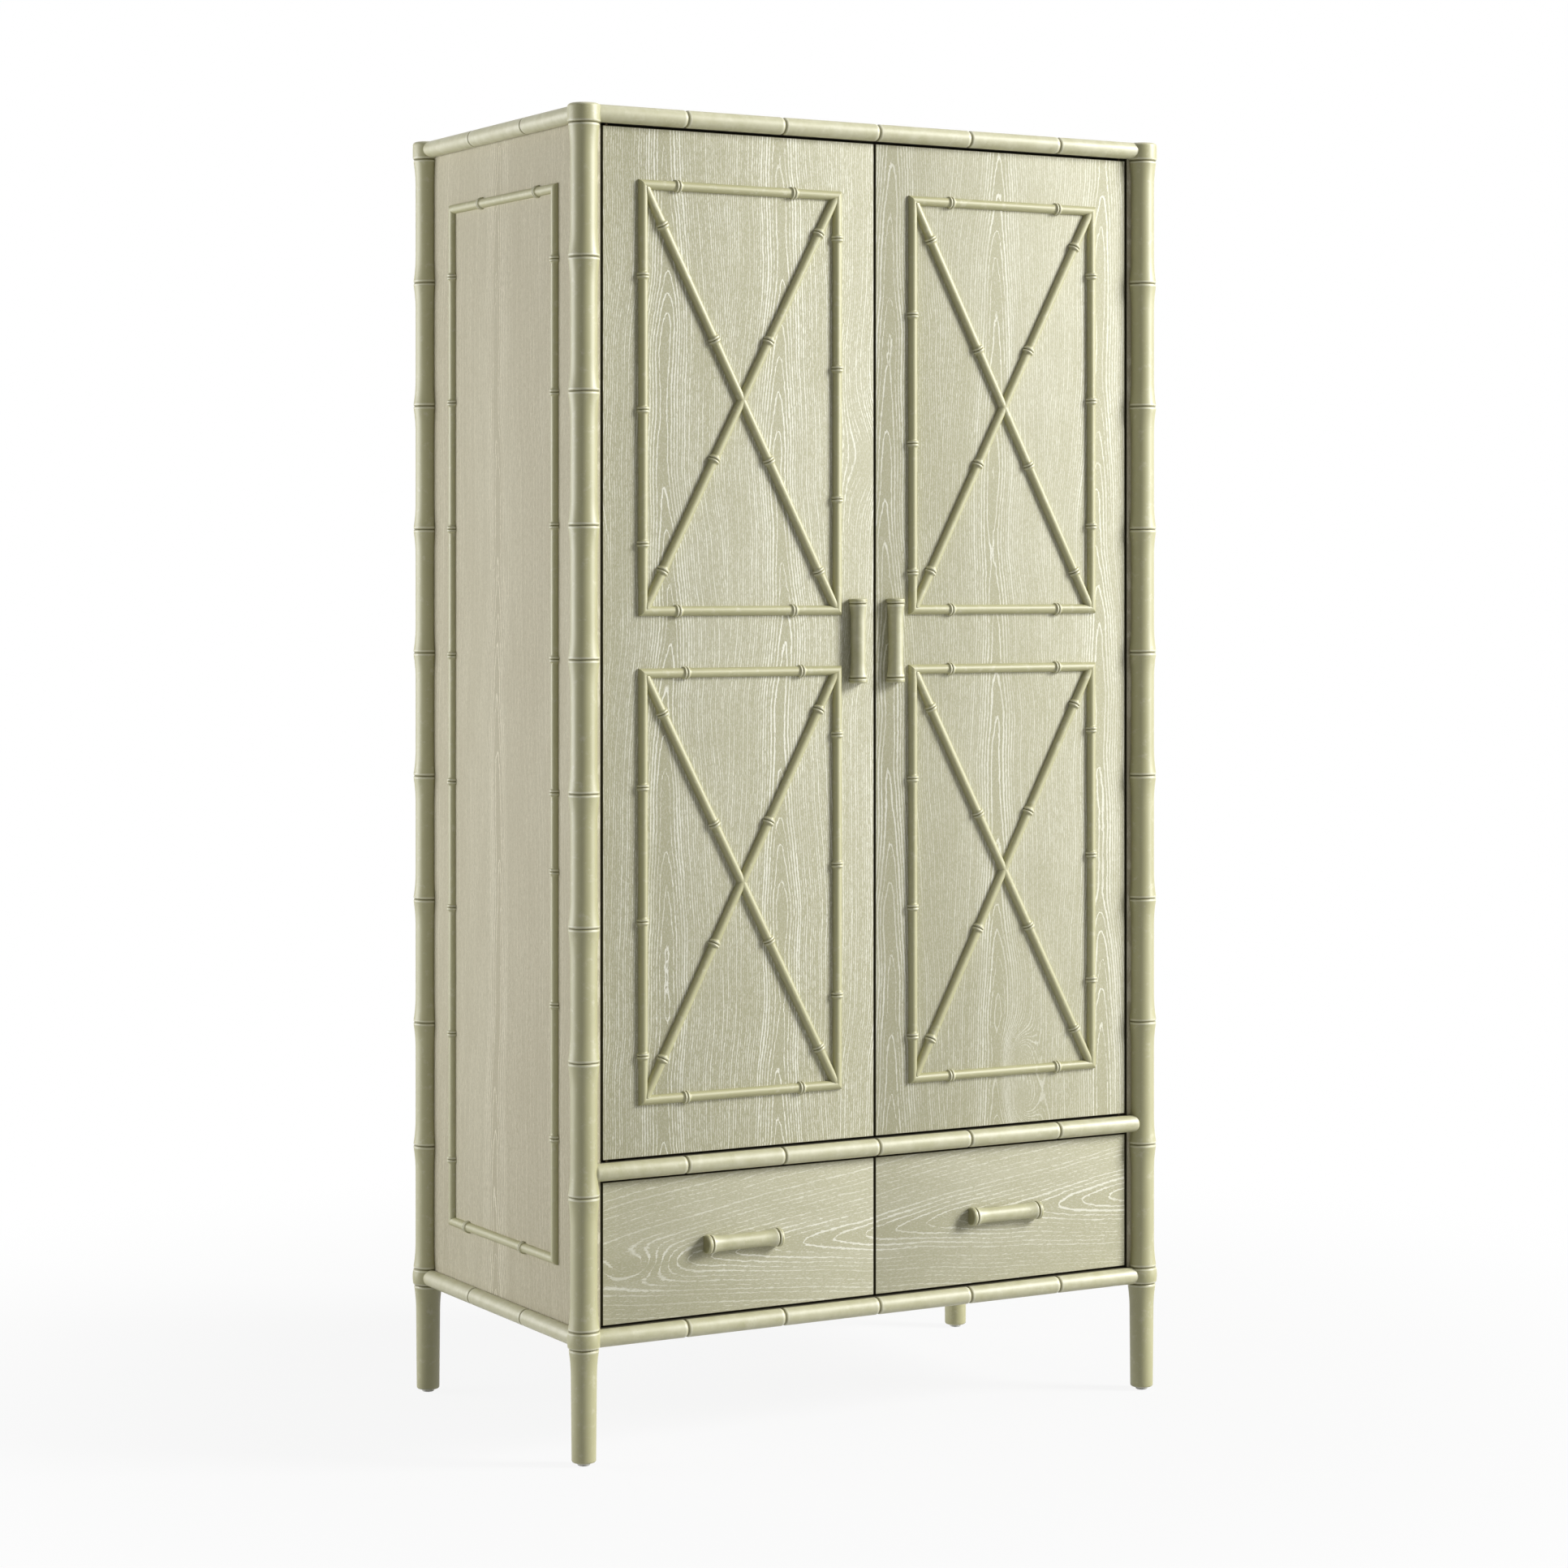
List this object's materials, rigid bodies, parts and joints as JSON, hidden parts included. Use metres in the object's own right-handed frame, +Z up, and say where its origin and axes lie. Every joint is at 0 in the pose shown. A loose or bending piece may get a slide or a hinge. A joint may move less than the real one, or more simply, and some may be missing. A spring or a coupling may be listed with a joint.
{
  "type": "armoire",
  "caption": "Sage-green faux-bamboo armoire: turned noded posts and rails, crossed-stick doors with bar pulls, drawers below, hanging rod and shelf inside",
  "frame": {"origin": "On the floor, midway between the four posts", "axes": "X runs left to right across the front, Y runs from the front to the back, Z is up"},
  "size_m": [1.0138, 0.5838, 1.93],
  "materials": {
    "turned_paint": "satin",
    "front_veneer": "satin",
    "side_veneer": "satin",
    "case_board": "satin",
    "hinge_brass": "brushed",
    "fitting_steel": "brushed",
    "glide_plastic": "matte",
    "catch_plastic": "matte"
  },
  "bodies": {
    "case": {"back_left_post": "turned_paint", "back_panel": "case_board", "back_right_post": "turned_paint", "bottom_board": "case_board", "deck_board": "case_board", "drawer_partition": "case_board", "foot_glides": "glide_plastic", "front_bottom_rail": "turned_paint", "front_left_post": "turned_paint", "front_middle_rail": "turned_paint", "front_right_post": "turned_paint", "front_top_rail": "turned_paint", "hanging_rod": "fitting_steel", "hinge_case_leaves": "hinge_brass", "left_bottom_rail": "turned_paint", "left_side_frame": "turned_paint", "left_side_panel": "side_veneer", "left_top_rail": "turned_paint", "magnetic_catch": "catch_plastic", "right_bottom_rail": "turned_paint", "right_side_frame": "turned_paint", "right_side_panel": "side_veneer", "right_top_rail": "turned_paint", "rod_sockets": "fitting_steel", "shelf_cleats": "case_board", "slide_cabinet_members": "fitting_steel", "top_board": "case_board", "wardrobe_shelf": "case_board"},
    "left_door": {"left_door": "front_veneer", "left_door_lower_cross": "turned_paint", "left_door_lower_frame": "turned_paint", "left_door_pull": "turned_paint", "left_door_upper_cross": "turned_paint", "left_door_upper_frame": "turned_paint", "left_hinge_door_leaves": "hinge_brass", "left_strike_plate": "fitting_steel"},
    "left_drawer": {"left_drawer_back": "case_board", "left_drawer_bottom": "case_board", "left_drawer_front": "front_veneer", "left_drawer_pull": "turned_paint", "left_drawer_sides": "case_board", "left_slide_drawer_members": "fitting_steel"},
    "left_slide_middle": {"left_slide_middle_members": "fitting_steel"},
    "right_door": {"right_door": "front_veneer", "right_door_lower_cross": "turned_paint", "right_door_lower_frame": "turned_paint", "right_door_pull": "turned_paint", "right_door_upper_cross": "turned_paint", "right_door_upper_frame": "turned_paint", "right_hinge_door_leaves": "hinge_brass", "right_strike_plate": "fitting_steel"},
    "right_drawer": {"right_drawer_back": "case_board", "right_drawer_bottom": "case_board", "right_drawer_front": "front_veneer", "right_drawer_pull": "turned_paint", "right_drawer_sides": "case_board", "right_slide_drawer_members": "fitting_steel"},
    "right_slide_middle": {"right_slide_middle_members": "fitting_steel"}
  },
  "joints": [
    {"name": "left_door_hinge", "type": "hinge", "parent": "case", "child": "left_door", "pos_m": [-0.4445, -0.2605, 1.1651], "axis": [0, 0, -1], "range_deg": [0, 105]},
    {"name": "left_drawer_slide", "type": "slide", "parent": "case", "child": "left_drawer", "axis": [0, -1, 0], "range_m": [0, 0.4]},
    {"name": "left_slide_travel", "type": "slide", "parent": "case", "child": "left_slide_middle", "axis": [0, -1, 0], "range_m": [0, 0.2]},
    {"name": "right_door_hinge", "type": "hinge", "parent": "case", "child": "right_door", "pos_m": [0.4445, -0.2605, 1.1651], "axis": [0, 0, 1], "range_deg": [0, 105]},
    {"name": "right_drawer_slide", "type": "slide", "parent": "case", "child": "right_drawer", "axis": [0, -1, 0], "range_m": [0, 0.4]},
    {"name": "right_slide_travel", "type": "slide", "parent": "case", "child": "right_slide_middle", "axis": [0, -1, 0], "range_m": [0, 0.2]}
  ],
  "couplings": [
    {"joint": "left_slide_travel", "follows": "left_drawer_slide", "ratio": 0.5},
    {"joint": "right_slide_travel", "follows": "right_drawer_slide", "ratio": 0.5}
  ]
}
